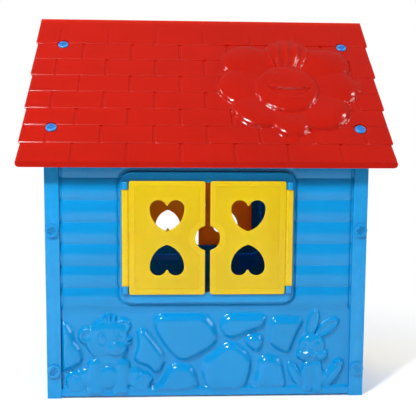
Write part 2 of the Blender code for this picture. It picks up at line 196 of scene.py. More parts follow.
def block(x, y, z, edge=0.0):
    """Block from three (low, high) spans, with softened edges."""
    outline = [(x[0], y[0]), (x[1], y[0]), (x[1], y[1]), (x[0], y[1])]
    return plate("block", outline, "Z", *z, edge)


def circle(center, radius, steps):
    return [(center[0] + radius * cos(2 * pi * k / steps),
             center[1] + radius * sin(2 * pi * k / steps)) for k in range(steps)]


def rounded(x, z, radius, steps=6):
    """Rounded rectangle from its two spans."""
    corners = [(x[1] - radius, z[1] - radius, 0), (x[0] + radius, z[1] - radius, 1),
               (x[0] + radius, z[0] + radius, 2), (x[1] - radius, z[0] + radius, 3)]
    return [(cx + radius * cos((turn + k / steps) * pi / 2),
             cz + radius * sin((turn + k / steps) * pi / 2))
            for cx, cz, turn in corners for k in range(steps + 1)]


# %% [markdown]
# Every moulding takes the place of its CAD node and rides on that node's body.
# The turned twin of a moulding is a copy with its own mesh, because front and
# back come out of the same tool.

# %% Hand-over helpers
HALF_TURN = Matrix.Rotation(pi, 4, "Z")


def settle(obj, node, body, material, angle=35):
    """Finish a piece: shading, material, body, and the CAD node it replaces.

    Weighted normals keep a wide flat face flat beside its rounded edge.
    """
    obj.name = f"{node}_moulding"
    obj.data.name = obj.name
    activate(obj)
    bpy.ops.object.shade_smooth_by_angle(angle=radians(angle))
    even = obj.modifiers.new("even shading", "WEIGHTED_NORMAL")
    even.keep_sharp = True
    bpy.ops.object.modifier_apply(modifier=even.name)
    obj.data.materials.clear()
    obj.data.materials.append(material)
    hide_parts(node)
    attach(obj, body)
    return obj


def twin(obj, turn):
    """Copy of a piece with its own mesh, moved by a matrix."""
    other = obj.copy()
    other.data = obj.data.copy()
    other.data.transform(turn)
    bpy.context.collection.objects.link(other)
    return other


# %% [markdown]
# ## Polyethylene
# The mouldings are coloured through in high-density polyethylene. Fresh from
# a polished tool it is glossy with a faint orange peel, it lets a little light
# in, and its ribs and corners turn paler where they are rubbed. One recipe
# makes each colour: slow colour drift from uneven pigment, gloss that varies,
# and a fine bump. The bolts are glossier polypropylene.

# %% Materials
def linear(hex_color):
    """sRGB hex to linear RGBA."""
    channels = [int(hex_color[k:k + 2], 16) / 255 for k in (1, 3, 5)]
    return (*[c / 12.92 if c <= 0.04045 else ((c + 0.055) / 1.055) ** 2.4
              for c in channels], 1.0)


def node(tree, kind, settings=None, **links):
    """Add a shader node, set its fields and sockets, and link its inputs."""
    new = tree.nodes.new("ShaderNode" + kind)
    for key, value in (settings or {}).items():
        if isinstance(key, str) and hasattr(new, key):
            setattr(new, key, value)
        else:
            new.inputs[key].default_value = value
    for key, source in links.items():
        tree.links.new(source, new.inputs[key.replace("_", " ")])
    return new


def moulded_plastic(name, color, pale, roughness, glow, grain_mm=1.6, peel=0.05):
    """Injection-moulded polyolefin: body colour, rubbed edges, orange peel."""
    material = bpy.data.materials.new(name)
    material.use_nodes = True
    tree = material.node_tree
    shader = tree.nodes["Principled BSDF"]
    shader.inputs["IOR"].default_value = 1.5
    shader.inputs["Specular IOR Level"].default_value = 0.36
    # The thin moulding lets light through, in its own colour.
    shader.inputs["Subsurface Weight"].default_value = glow[0]
    shader.inputs["Subsurface Scale"].default_value = 1.0
    shader.inputs["Subsurface Radius"].default_value = glow[1]
    where = node(tree, "TexCoord").outputs["Object"]

    # Pigment drifts over about 150 mm, as the melt flows from its gate.
    drift = node(tree, "TexNoise", {"Scale": 1 / 0.15, "Detail": 2.0}, Vector=where)
    base = linear(color)
    deeper = tuple(c * 0.93 for c in base[:3]) + (1.0,)
    ramp = node(tree, "ValToRGB", Fac=drift.outputs["Fac"])
    ramp.color_ramp.elements[0].position, ramp.color_ramp.elements[0].color = 0.35, deeper
    ramp.color_ramp.elements[1].position, ramp.color_ramp.elements[1].color = 0.65, base

    # Rubbed ridges are paler. Scuffs break the line up at about 20 mm.
    ridge = node(tree, "NewGeometry")
    scuff = node(tree, "TexNoise", {"Scale": 1 / 0.02, "Detail": 3.0}, Vector=where)
    edge = node(tree, "MapRange", {"From Min": 0.515, "From Max": 0.6},
                Value=ridge.outputs["Pointiness"])
    wear = node(tree, "Math", {"operation": "MULTIPLY"})
    tree.links.new(edge.outputs[0], wear.inputs[0])
    tree.links.new(scuff.outputs["Fac"], wear.inputs[1])
    mix = node(tree, "Mix", {"data_type": "RGBA"})
    tree.links.new(wear.outputs[0], mix.inputs[0])
    tree.links.new(ramp.outputs["Color"], mix.inputs[6])
    mix.inputs[7].default_value = linear(pale)
    tree.links.new(mix.outputs[2], shader.inputs["Base Color"])

    # Gloss varies with handling, and a fine peel breaks up reflections.
    sheen = node(tree, "TexNoise", {"Scale": 1 / 0.05, "Detail": 4.0}, Vector=where)
    gloss = node(tree, "MapRange", {"From Min": 0.3, "From Max": 0.7, "To Min": roughness - 0.04,
                                    "To Max": roughness + 0.06}, Value=sheen.outputs["Fac"])
    tree.links.new(gloss.outputs[0], shader.inputs["Roughness"])
    grain = node(tree, "TexNoise", {"Scale": 1000 / grain_mm, "Detail": 2.0}, Vector=where)
    bump = node(tree, "Bump", {"Strength": peel, "Distance": 0.001}, Height=grain.outputs["Fac"])
    tree.links.new(bump.outputs["Normal"], shader.inputs["Normal"])
    return material


BLUE = moulded_plastic("Moulded polyethylene, sky blue", "#0088C8", "#2FA0DC", 0.14,
                       (0.22, (0.0006, 0.0016, 0.005)))
RED = moulded_plastic("Moulded polyethylene, signal red", "#A81203", "#CC2C16", 0.12,
                      (0.2, (0.004, 0.0008, 0.0004)))
YELLOW = moulded_plastic("Moulded polyethylene, sun yellow", "#D4B402", "#E6CA30", 0.20,
                         (0.65, (0.014, 0.0075, 0.0003)))
BOLT_BLUE = moulded_plastic("Moulded polypropylene, light blue", "#2F7CC6", "#6CAEE4", 0.22,
                            (0.15, (0.001, 0.0015, 0.0025)))
NUT_GREY = moulded_plastic("Moulded nylon, grey", "#A9ADB0", "#C4C7C9", 0.42,
                           (0.15, (0.0015, 0.0015, 0.0015)))

# %% [markdown]
# ## Walls
# Each wall has soft boards over a band of field stones, with a bear on the
# left and a rabbit on the right. All of it is one skin, so it is drawn as a
# height over the wall plane. A board is a shallow arch that fades out at the
# pillars and round the window, and a stone is a pillow inside an outline.

# %% Wall dimensions and boards
WALL_FOOT, WALL_TOP = 0.005, 0.668
SIDING_HALF = 0.3935
SIDING_BASE, GABLE_BASE = 0.394, 0.4205
SKIN = 0.003
BOARDS_FROM, BOARD_PITCH = 0.244, 0.0592
BOARD_BACK, BOARD_RISE = 0.0022, 0.005
LEDGE_TOP, LEDGE_RISE = 0.025, 0.008


def board_rows(top):
    """Grid lines over the boards, close together at the creases."""
    steps = (0, 0.03, 0.08, 0.16, 0.27, 0.38, 0.5, 0.62, 0.73, 0.84, 0.92, 0.97)
    count = int((top - BOARDS_FROM) / BOARD_PITCH) + 1
    rows = [BOARDS_FROM + (k + t) * BOARD_PITCH for k in range(count) for t in steps]
    return [z for z in rows if z < top - 0.001] + [top]


def board_profile(v):
    """Height of the boards at height v on the wall; the lowest starts softly."""
    t = ((v - BOARDS_FROM) / BOARD_PITCH) % 1.0
    arch = BOARD_BACK + BOARD_RISE * (4 * t * (1 - t)) ** 0.75
    start = (BOARD_BACK + BOARD_RISE) * smooth(BOARDS_FROM - 0.012, BOARDS_FROM + 0.024, v)
    return np.where(v < BOARDS_FROM + BOARD_PITCH / 2, start, arch)


def board_height(u, v, half, clear):
    """Boards that fade out at the pillars and at the frame, clear away from it."""
    return board_profile(v) * smooth(0.001, 0.009, half - np.abs(u)) * smooth(0.001, 0.01, clear)


def ledge_height(v):
    return LEDGE_RISE * smooth(LEDGE_TOP + 0.004, LEDGE_TOP - 0.002, v)


def pillow(u, v, outline, rise, edge):
    """A slab inside an outline, with a rounded rim of the given width."""
    points = np.array(outline)
    inside = np.zeros(u.shape, bool)
    gap = np.full(u.shape, 1.0)
    for (ax, az), (bx, bz) in zip(points, np.roll(points, -1, axis=0)):
        along = np.clip(((u - ax) * (bx - ax) + (v - az) * (bz - az))
                        / ((bx - ax) ** 2 + (bz - az) ** 2), 0, 1)
        gap = np.minimum(gap, np.hypot(u - ax - along * (bx - ax), v - az - along * (bz - az)))
        if az != bz:
            crosses = (az > v) != (bz > v)
            inside ^= crosses & (u < (bx - ax) * (v - az) / (bz - az) + ax)
    return rise * (1 - (1 - np.clip(gap / edge, 0, 1) * inside) ** 2.4)


# %% Stones
# Outlines in metres as (across, up), clockwise from the upper left.
FRONT_STONES = [
    [(-.146, .21), (-.14, .222), (-.127, .231), (-.02, .231), (.002, .224), (.02, .2),
     (.03, .172), (.028, .152), (.01, .134), (-.028, .112), (-.052, .101), (-.074, .102),
     (-.096, .118), (-.118, .146), (-.136, .176)],
    [(.035, .205), (.044, .222), (.06, .23), (.146, .23), (.162, .22), (.161, .204),
     (.148, .19), (.114, .178), (.088, .166), (.064, .162), (.046, .169), (.037, .185)],
    [(.102, .158), (.112, .171), (.128, .175), (.145, .174), (.156, .158), (.153, .137),
     (.14, .122), (.124, .128), (.108, .143)],
    [(.17, .205), (.18, .219), (.196, .221), (.256, .219), (.264, .206), (.25, .18),
     (.238, .148), (.228, .122), (.214, .119), (.186, .133), (.168, .15), (.166, .182)],
    [(-.191, .182), (-.18, .192), (-.164, .188), (-.15, .17), (-.134, .148), (-.116, .121),
     (-.111, .098), (-.122, .074), (-.142, .065), (-.16, .084), (-.19, .095), (-.199, .108),
     (-.188, .15)],
    [(-.11, .072), (-.096, .09), (-.078, .094), (-.04, .083), (-.026, .06), (-.019, .03),
     (-.036, .018), (-.07, .012), (-.15, .012), (-.155, .022), (-.128, .042)],
    [(-.006, .104), (.046, .146), (.062, .152), (.08, .148), (.108, .128), (.124, .1),
     (.122, .07), (.11, .03), (.09, .014), (.016, .014), (-.006, .034), (-.015, .07)],
    [(.14, .098), (.15, .11), (.168, .116), (.196, .108), (.209, .09), (.216, .058),
     (.222, .03), (.21, .02), (.136, .02), (.126, .04), (.138, .072)],
    [(-.392, .212), (-.376, .207), (-.362, .184), (-.355, .16), (-.34, .136), (-.333, .108),
     (-.34, .094), (-.362, .082), (-.392, .072)],
]
SIDE_STONES = [
    [(.212, .214), (.224, .228), (.3, .23), (.322, .216), (.318, .18), (.29, .15),
     (.252, .146), (.222, .166)],
    [(.34, .222), (.352, .23), (.372, .23), (.372, .128), (.352, .126), (.334, .146),
     (.334, .19)],
    [(.21, .128), (.222, .14), (.248, .13), (.276, .116), (.284, .086), (.276, .04),
     (.256, .02), (.212, .02)],
    [(.304, .128), (.318, .14), (.336, .12), (.35, .104), (.372, .1), (.372, .02),
     (.316, .02), (.298, .04), (.302, .09)],
]


def stone_height(u, v, stones):
    return pile(*(pillow(u, v, outline, 0.0135, 0.019) for outline in stones))


# %% [markdown]
# The animals are built up like a modeller lays clay on a board: one dome over
# another, where the higher one wins, so that a crease stays between head, body
# and limbs. Eyes, pads and the insides of the ears are pressed back in.

# %% Clay helpers
def pile(*heights):
    return np.maximum.reduce(heights)


def turned(u, v, center, degrees):
    """Coordinates about a centre, turned."""
    c, s = cos(radians(degrees)), sin(radians(degrees))
    du, dv = u - center[0], v - center[1]
    return du * c + dv * s, -du * s + dv * c


def dome(u, v, center, radii, rise, degrees=0, base=0.0):
    """Height of an oval dome; base is the height of its rim."""
    a, b = turned(u, v, center, degrees)
    inside = 1 - (a / radii[0]) ** 2 - (b / radii[1]) ** 2
    return np.where(inside > 0, base + (rise - base) * np.sqrt(np.clip(inside, 0, 1)), 0.0)


def oval_reach(u, v, center, radii, degrees):
    """Distance from an oval's centre, where 1 is its rim, and the turned height."""
    a, b = turned(u, v, center, degrees)
    return np.sqrt((a / radii[0]) ** 2 + (b / radii[1]) ** 2), b


def press(height, u, v, center, radii, depth, degrees=0):
    """Push an oval dish into the height."""
    near, _ = oval_reach(u, v, center, radii, degrees)
    return np.maximum(height - depth * smooth(1.0, 0.72, near) * (height > 0.001), 0)


def score(height, u, v, center, radii, width, depth, degrees=0, smile=False):
    """Draw an oval groove, or only its lower arc for a smile."""
    near, b = oval_reach(u, v, center, radii, degrees)
    groove = smooth(width / min(radii), 0.0, np.abs(near - 1)) * (height > 0.001)
    if smile:
        groove = groove * smooth(-0.2 * radii[1], -0.5 * radii[1], b)
    return np.maximum(height - depth * groove, 0)


def limb(u, v, start, end, radius, rise, base=0.0):
    """A rounded bar between two points."""
    (ax, az), (bx, bz) = start, end
    along = np.clip(((u - ax) * (bx - ax) + (v - az) * (bz - az))
                    / ((bx - ax) ** 2 + (bz - az) ** 2), 0, 1)
    gap = np.hypot(u - ax - along * (bx - ax), v - az - along * (bz - az)) / radius
    return np.where(gap < 1, base + (rise - base) * np.sqrt(np.clip(1 - gap ** 2, 0, 1)), 0.0)


def toes(h, u, v, centers, radii, rise, degrees=0):
    return pile(h, *(dome(u, v, center, radii, rise, degrees, 0.004) for center in centers))


# %% Bear
def bear(u, v):
    """Sitting bear cub, about 230 mm wide and 220 mm tall."""
    h = pile(dome(u, v, (-.264, .07), (.054, .058), .0105, 0, .004),
             dome(u, v, (-.328, .054), (.027, .029), .0095, -25, .003),
             dome(u, v, (-.198, .056), (.027, .027), .0095, 25, .003))
    h = pile(h, dome(u, v, (-.267, .057), (.0265, .031), .014, 0, .009))
    h = score(h, u, v, (-.267, .057), (.0285, .033), .0032, .0035)
    for side, center, spots in (
            (-1, (-.352, .04), ((-.3745, .05), (-.3685, .0585), (-.36, .0635), (-.3505, .0655))),
            (1, (-.18, .04), ((-.176, .064), (-.1665, .0625), (-.1585, .0575), (-.1525, .05)))):
        h = pile(h, dome(u, v, center, (.0275, .0245), .0125, 0, .005))
        h = toes(h, u, v, spots, (.0058, .0085), .0135, -side * 35)
        h = press(h, u, v, (center[0], center[1] - .005), (.014, .011), .0022)
    for shoulder, wrist, hand, spots in (
            ((-.303, .09), (-.301, .036), (-.3, .0245), (-.3145, -.305, -.2955, -.2865)),
            ((-.227, .088), (-.231, .036), (-.231, .0245), (-.2455, -.236, -.2265, -.218))):
        h = pile(h, limb(u, v, shoulder, wrist, .019, .0135, .005),
                 dome(u, v, hand, (.0205, .0145), .0145, 0, .006))
        h = toes(h, u, v, [(x, .016) for x in spots], (.0046, .0066), .0155)
    for center, size in (((-.3225, .1715), .0245), ((-.2255, .199), .0205)):
        h = pile(h, dome(u, v, center, (size, size), .0115, 0, .004))
        h = press(h, u, v, center, (size * .62, size * .62), .005)
    h = pile(h, dome(u, v, (-.266, .168), (.053, .052), .015, 10, .005),
             dome(u, v, (-.287, .146), (.04, .033), .0135, -22, .005),
             dome(u, v, (-.243, .136), (.031, .028), .013, 20, .005),
             limb(u, v, (-.268, .208), (-.277, .2235), .005, .012, .004),
             limb(u, v, (-.262, .21), (-.263, .227), .005, .0125, .004),
             limb(u, v, (-.254, .21), (-.248, .2235), .0045, .012, .004),
             limb(u, v, (-.218, .158), (-.207, .164), .0045, .011, .004),
             limb(u, v, (-.22, .15), (-.2085, .151), .0045, .0105, .004),
             limb(u, v, (-.31, .128), (-.299, .113), .005, .0105, .004))
    for center, radii in (((-.2805, .1655), (.011, .015)), ((-.238, .168), (.0085, .0135))):
        h = score(h, u, v, center, radii, .003, .0034, 6)
        h = press(h, u, v, (center[0] + .001, center[1] - .004), (.0048, .0068), .0024)
    h = pile(h, dome(u, v, (-.244, .137), (.027, .0185), .0185, 10, .012))
    h = score(h, u, v, (-.245, .143), (.018, .0155), .0026, .003, 10, True)
    return pile(h, dome(u, v, (-.247, .1515), (.0088, .006), .0205, 10, .014))


# %% Rabbit
def rabbit(u, v):
    """Sitting rabbit, about 150 mm wide and 225 mm tall."""
    h = pile(dome(u, v, (.29, .06), (.031, .047), .0105, 0, .004),
             dome(u, v, (.323, .05), (.0165, .0185), .01, 0, .004),
             dome(u, v, (.246, .058), (.0415, .015), .012, -61, .004),
             dome(u, v, (.347, .06), (.044, .0165), .012, 56, .004))
    h = score(h, u, v, (.247, .057), (.034, .0095), .0022, .002, -61)
    h = score(h, u, v, (.345, .057), (.034, .0105), .0022, .002, 56)
    h = toes(h, u, v, ((.356, .0945), (.364, .0955), (.371, .089)), (.005, .0075), .014, -30)
    for shoulder, wrist, paw, spots in (
            ((.2765, .084), (.2785, .036), (.2785, .0245), (.2715, .2785, .2855)),
            ((.3035, .084), (.305, .034), (.3055, .022), (.2985, .3055, .3125))):
        h = pile(h, limb(u, v, shoulder, wrist, .0132, .013, .005),
                 dome(u, v, paw, (.0145, .0108), .014, 0, .006))
        h = toes(h, u, v, [(x, paw[1] - .0065) for x in spots], (.0038, .0055), .0148)
    for center, length, wide, tilt in (((.29, .204), .0395, .0145, 76),
                                       ((.33, .191), .0375, .0155, 38)):
        h = pile(h, dome(u, v, center, (length, wide), .0125, tilt, .006))
        h = press(h, u, v, center, (length * .9, wide * .76), .006, tilt)
    h = pile(h, dome(u, v, (.289, .14), (.0355, .0345), .015, 0, .005),
             dome(u, v, (.268, .115), (.0215, .0165), .014, -18, .005),
             dome(u, v, (.312, .1145), (.0205, .016), .014, 18, .005),
             dome(u, v, (.285, .106), (.019, .011), .013, 0, .005))
    for center, radii in (((.2665, .137), (.008, .013)), ((.302, .139), (.0105, .016))):
        h = score(h, u, v, center, radii, .003, .0034)
        h = press(h, u, v, (center[0], center[1] - .004), (.0045, .0068), .0024)
    h = pile(h, dome(u, v, (.2755, .1165), (.0115, .0098), .018, 0, .012),
             dome(u, v, (.2915, .1165), (.0115, .0098), .018, 0, .012))
    h = score(h, u, v, (.2835, .113), (.0095, .0075), .0022, .0024, 0, True)
    return pile(h, dome(u, v, (.2835, .1265), (.0062, .0046), .0195, 0, .013))


# %% [markdown]
# The long wall is the same moulding at the front and at the back. Its skin is
# raised over a grid whose lines are closest where the animals are. The window
# is cut out, and pillars, window frame and hinge lugs are fused on.

# %% Hinge and frame dimensions
WINDOW_HALF, WINDOW_Z = 0.2045, (0.292, 0.588)
FRAME_MARGIN, FRAME_RISE, FRAME_CORNER = 0.028, 0.015, 0.03
HINGE_X, HINGE_Y = 0.219, -0.4125
BARREL_Z = (0.3108, 0.5692)
CHANNEL, CHANNEL_DEPTH = 0.0096, 0.01
PIN_HOLE_R = 0.0033
LUG_R, LUG_LENGTH, LUG_DEPTH = 0.0085, 0.02, 0.016
PILLAR_FACE, PILLAR_OUT, PILLAR_WIDTH, PILLAR_RETURN = 0.404, 0.4305, 0.038, 0.372
BOLT_X, BOLT_Z, HOLE_R = 0.412, (0.078, 0.46), 0.0043
GAP = 0.0003
FRAME_HALF = WINDOW_HALF + FRAME_MARGIN
FRAME_Z = (WINDOW_Z[0] - FRAME_MARGIN, WINDOW_Z[1] + FRAME_MARGIN)


def window_clearance(u, v):
    """Distance outside the window frame's rounded outline."""
    x = np.abs(u) - FRAME_HALF + FRAME_CORNER
    z = np.abs(v - sum(FRAME_Z) / 2) - (FRAME_Z[1] - FRAME_Z[0]) / 2 + FRAME_CORNER
    return np.hypot(np.maximum(x, 0), np.maximum(z, 0)) + np.minimum(np.maximum(x, z), 0) \
        - FRAME_CORNER


# %% Long wall skin
def long_wall_relief(u, v):
    height = pile(board_height(u, v, 0.3925, window_clearance(u, v)), ledge_height(v),
                  stone_height(u, v, FRONT_STONES))
    figures = pile(bear(u, v), rabbit(u, v))
    return height * smooth(0.0015, 0.0, figures) + figures


across = lines((-SIDING_HALF, 0.0015), (-.388, 0.0019), (-.145, 0.0029), (.225, 0.0019),
               (.388, 0.0015), (SIDING_HALF, 0))
up = np.array(list(lines((WALL_FOOT, 0.0019), (BOARDS_FROM, 0)))[:-1] + board_rows(WALL_TOP))
wall = raise_sheet("long wall", across, up, long_wall_relief,
                   lambda u, v, h: (u, -SIDING_BASE - h, v))
back_sheet(wall, lambda co: np.column_stack(
    (co[:, 0], SKIN - SIDING_BASE - board_profile(co[:, 2]), co[:, 2])))
print("wall skin", len(wall.data.polygons), "faces")

# %% Long wall frame, pillars and lugs
added = [plate("surround", rounded((-FRAME_HALF, FRAME_HALF), FRAME_Z, FRAME_CORNER, 8), "Y",
               -SIDING_BASE - FRAME_RISE, -SIDING_BASE, 0.0022, 3)]
cut = [plate("opening", rounded((-WINDOW_HALF, WINDOW_HALF), WINDOW_Z, 0.004, 2), "Y",
             -0.45, -0.35)]
lugs, bores = [], []
inner = PILLAR_OUT - PILLAR_WIDTH
for side in (-1, 1):
    section = [(inner, -PILLAR_FACE), (PILLAR_OUT, -PILLAR_FACE), (PILLAR_OUT, -PILLAR_RETURN),
               (PILLAR_OUT - SKIN, -PILLAR_RETURN), (PILLAR_OUT - SKIN, SKIN - PILLAR_FACE),
               (inner + SKIN, SKIN - PILLAR_FACE), (inner + SKIN, SKIN - SIDING_BASE),
               (inner, SKIN - SIDING_BASE)]
    added.append(plate("pillar", [(side * x, y) for x, y in section], "Z", 0, WALL_TOP, 0.0014))
    added.append(block(sorted((side * inner, side * PILLAR_OUT)), (-PILLAR_FACE, -PILLAR_RETURN),
                       (0, SKIN), 0.0008))
    cut.append(block(sorted((side * (WINDOW_HALF - 0.001), side * (HINGE_X + CHANNEL))),
                     (HINGE_Y - 2 * CHANNEL_DEPTH, HINGE_Y + CHANNEL_DEPTH),
                     (BARREL_Z[0] - LUG_LENGTH, BARREL_Z[1] + LUG_LENGTH)))
    for z in (BARREL_Z[0] - LUG_LENGTH - GAP, BARREL_Z[1] + GAP):
        lugs.append(plate("lug", circle((side * HINGE_X, HINGE_Y), LUG_R, 32), "Z", z,
                          z + LUG_LENGTH, 0.0025, 3))
        lugs.append(block((side * HINGE_X - LUG_R, side * HINGE_X + LUG_R),
                          (HINGE_Y, HINGE_Y + LUG_DEPTH), (z + GAP, z + LUG_LENGTH - GAP)))
    bores.append(plate("hole", circle((side * HINGE_X, HINGE_Y), PIN_HOLE_R, 16), "Z",
                       0.29, 0.59))
    bores += [plate("bore", circle((side * BOLT_X, z), HOLE_R, 20), "Y", -0.42, -0.39)
              for z in BOLT_Z]
fuse_all(wall, added)
fuse_all(wall, cut, "DIFFERENCE")
fuse_all(wall, lugs)
fuse_all(wall, bores, "DIFFERENCE")
print("long wall", len(wall.data.polygons), "faces")
back_wall = twin(wall, HALF_TURN)
settle(wall, "front_wall", "house", BLUE)
settle(back_wall, "back_wall", "house", BLUE)

# %% [markdown]
# ## Gables
# A gable has the same boards and stones under the slopes. Flanges stand off its
# top edges for the roof and off its ends for the pillars. One gable has a
# doorway with a round head.

# %% Roof geometry
HEIGHT, ROOF_ANGLE, EAVE_Y = 1.06, radians(43.13), 0.4428
GABLE_TOP = -0.0071


def slope_height(y, n):
    """Height at distance y from the ridge of a line n out of the roof."""
    return HEIGHT - y * tan(ROOF_ANGLE) + n / cos(ROOF_ANGLE)


def slope_point(s, n):
    """(y, z) on the front slope: s down from the ridge, n out of the roof."""
    return (-s * cos(ROOF_ANGLE) - n * sin(ROOF_ANGLE),
            HEIGHT - s * sin(ROOF_ANGLE) + n * cos(ROOF_ANGLE))


def arch(half, sill, spring, steps=36):
    """Doorway outline with a round head, as (y, z)."""
    return [(-half, sill), (half, sill)] + [
        (half * cos(pi * k / steps), spring + half * sin(pi * k / steps))
        for k in range(steps + 1)]


# %% Gable skin
GABLE_HALF = PILLAR_RETURN - 0.0005
DOOR_HALF, DOOR_SILL, DOOR_SPRING = 0.165, 0.075, 0.6
DOOR_AXIS = (0.439, -0.1795)
DOOR_BARREL = (0.11, 0.42)


def doorway_clearance(u, v):
    """Distance outside the door frame."""
    head = np.hypot(u, np.maximum(v - DOOR_SPRING, 0)) - DOOR_HALF - FRAME_MARGIN
    return np.maximum(head, DOOR_SILL - FRAME_MARGIN - v)


def gable(stones, clearance):
    """Gable facing +X, still without its doorway."""
    def relief(u, v):
        return pile(board_height(u, v, GABLE_HALF, clearance(u, v)), ledge_height(v),
                    stone_height(u, v, stones))

    rows = np.array(list(lines((WALL_FOOT, 0.0028), (BOARDS_FROM, 0)))[:-1] + board_rows(1.05))
    skin = raise_sheet("gable", lines((-GABLE_HALF, 0.003), (GABLE_HALF, 0)), rows, relief,
                       lambda u, v, h: (GABLE_BASE + h, u, v))
    back_sheet(skin, lambda co: np.column_stack(
        (GABLE_BASE - SKIN + board_profile(co[:, 2]), co[:, 1], co[:, 2])))
    half = GABLE_HALF + 0.01
    pentagon = [(-half, -0.1), (half, -0.1), (half, slope_height(half, GABLE_TOP)),
                (0, slope_height(0, GABLE_TOP)), (-half, slope_height(half, GABLE_TOP))]
    fuse(skin, plate("cut", pentagon, "X", 0.35, 0.5), "INTERSECT")
    reach, inner_x = PILLAR_FACE - SKIN - GAP, PILLAR_OUT - PILLAR_WIDTH + SKIN + 0.0015
    added, bores = [], []
    for length, depth, x_span in ((reach, SKIN, (inner_x, PILLAR_OUT - 0.001)),
                                  (GABLE_HALF - 0.001, 0.012, (inner_x + 0.0005, 0.429))):
        low, high = GABLE_TOP - depth, GABLE_TOP - (0.0005 if depth > SKIN else 0)
        chevron = [(-length, slope_height(length, high)), (0, slope_height(0, high)),
                   (length, slope_height(length, high)), (length, slope_height(length, low)),
                   (0, slope_height(0, low)), (-length, slope_height(length, low))]
        added.append(plate("flange", chevron, "X", *x_span))
    lap_x = PILLAR_OUT - SKIN - GAP
    for side in (-1, 1):
        for x_span, y_span in (
                ((GABLE_BASE - SKIN, GABLE_BASE + LEDGE_RISE),
                 (side * (GABLE_HALF - SKIN), side * GABLE_HALF)),
                ((lap_x - SKIN, lap_x), (side * (GABLE_HALF - SKIN), side * reach)),
                ((inner_x, lap_x), (side * (reach - SKIN), side * reach))):
            added.append(block(x_span, sorted(y_span), (WALL_FOOT, WALL_TOP)))
        bores += [plate("bore", circle((BOLT_X, z), HOLE_R, 20), "Y",
                        *sorted((side * 0.38, side * 0.42))) for z in BOLT_Z]
    fuse_all(skin, added)
    return fuse_all(skin, bores, "DIFFERENCE")


both_sides = SIDE_STONES + [[(-y, z) for y, z in outline] for outline in SIDE_STONES]
middle = [outline for outline in FRONT_STONES[:8] if max(y for y, z in outline) < 0.2]
left_gable = gable(both_sides + middle, lambda u, v: np.ones(u.shape))
left_gable.data.transform(HALF_TURN)
settle(left_gable, "gable_left", "house", BLUE)

# %% Doorway gable
door_gable = gable(both_sides, doorway_clearance)
frame_outline = arch(DOOR_HALF + FRAME_MARGIN, DOOR_SILL - FRAME_MARGIN, DOOR_SPRING)
fuse(door_gable, plate("frame", frame_outline, "X", GABLE_BASE - 0.001, GABLE_BASE + FRAME_RISE,
                       0.0022, 3))
x, y = DOOR_AXIS
channel = block((x - CHANNEL_DEPTH, x + 2 * CHANNEL_DEPTH), (y - CHANNEL, 0.001 - DOOR_HALF),
                (DOOR_BARREL[0] - LUG_LENGTH, DOOR_BARREL[1] + LUG_LENGTH))
fuse_all(door_gable, [plate("opening", arch(DOOR_HALF, DOOR_SILL, DOOR_SPRING), "X", 0.38, 0.46),
                      channel], "DIFFERENCE")
lugs = []
for z in (DOOR_BARREL[0] - LUG_LENGTH - GAP, DOOR_BARREL[1] + GAP):
    lugs.append(plate("lug", circle(DOOR_AXIS, LUG_R, 32), "Z", z, z + LUG_LENGTH, 0.0025, 3))
    lugs.append(block((x - LUG_DEPTH, x), (y - LUG_R, y + LUG_R), (z + GAP, z + LUG_LENGTH - GAP)))
fuse_all(door_gable, lugs)
fuse(door_gable, plate("hole", circle(DOOR_AXIS, PIN_HOLE_R, 16), "Z", 0.09, 0.44), "DIFFERENCE")
settle(door_gable, "gable_right", "house", BLUE)
print("gables", len(left_gable.data.polygons), len(door_gable.data.polygons), "faces")

# %% [markdown]
# ## Roof
# Each roof tray shows eight courses of tiles. A course rises to its lower
# edge and drops to the next, joints are flat grooves that shift by half a tile
# from course to course, and the ends of the courses give the verge its teeth.
# The sheet turns down into the eave board.

# %% Roof courses
ROOF_HALF = 0.498
EAVE_S = EAVE_Y / cos(ROOF_ANGLE)
COURSES = (0.117, 0.19, 0.263, 0.333, 0.403, 0.47, 0.538)
COURSE_STEP = 0.0027
TILE = 0.1425
EAVE_DROP = 0.0163
ROOF_DEEP = -0.0068
THINNEST = 0.0012


def course_height(u, v):
    """Stepped courses with staggered joints, below the crest plane."""
    height = np.zeros(u.shape)
    for number, (start, end) in enumerate(zip((0.0,) + COURSES, COURSES + (EAVE_S,))):
        here = (v > start + 0.0001) & (v <= end + 0.0001)
        lip = smooth(end - 0.0022, end + 0.0012, v) * 0.0014 if end < EAVE_S else 0
        slope = 0 if number == 0 else -COURSE_STEP * (end - v) / (end - start)
        shift = 0.5 if number % 2 else 0.0
        joint = np.abs((u / TILE - shift + 0.5) % 1.0 - 0.5) * TILE
        fade = smooth(0.05, 0.085, v) if number == 0 else 1.0
        groove = 0.0028 * smooth(0.0056, 0.0022, joint) * fade
        height = np.where(here, slope - lip - groove, height)
    return np.maximum(height, THINNEST + ROOF_DEEP)


def verge(v):
    """Half width of the roof: the verge has one tooth for two courses."""
    width = np.interp(v, (0, .117, .1175, .263, .2635, .403, .4035, .538, .5385, EAVE_S),
                      (.4948, .498, .4938, .498, .4938, .498, .4938, .498, .4938, .4978))
    corner = np.clip((v - EAVE_S - EAVE_DROP + 0.01) / 0.01, 0, 1)
    return width - 0.01 * (1 - np.sqrt(1 - corner ** 2))


# %% [markdown]
# A big smiling flower lies over the tiles. Its petals stand up to their outer
# rims and dip towards the disc, the top one is fluted like a shell, and the
# disc is a pillow with two small eyes and a pressed-in smile.

# %% Flower
FLOWER = (0.231, 0.324)
DISC = (0.09, 0.098)
# Angle, distance of the centre, and half length and half width of each petal.
PETALS = ((83, .14, .086, .084), (131, .158, .08, .077), (42, .16, .082, .078),
          (173, .122, .077, .082), (6, .13, .079, .078), (-43, .122, .078, .081),
          (-137, .118, .07, .075), (-90, .127, .066, .055))


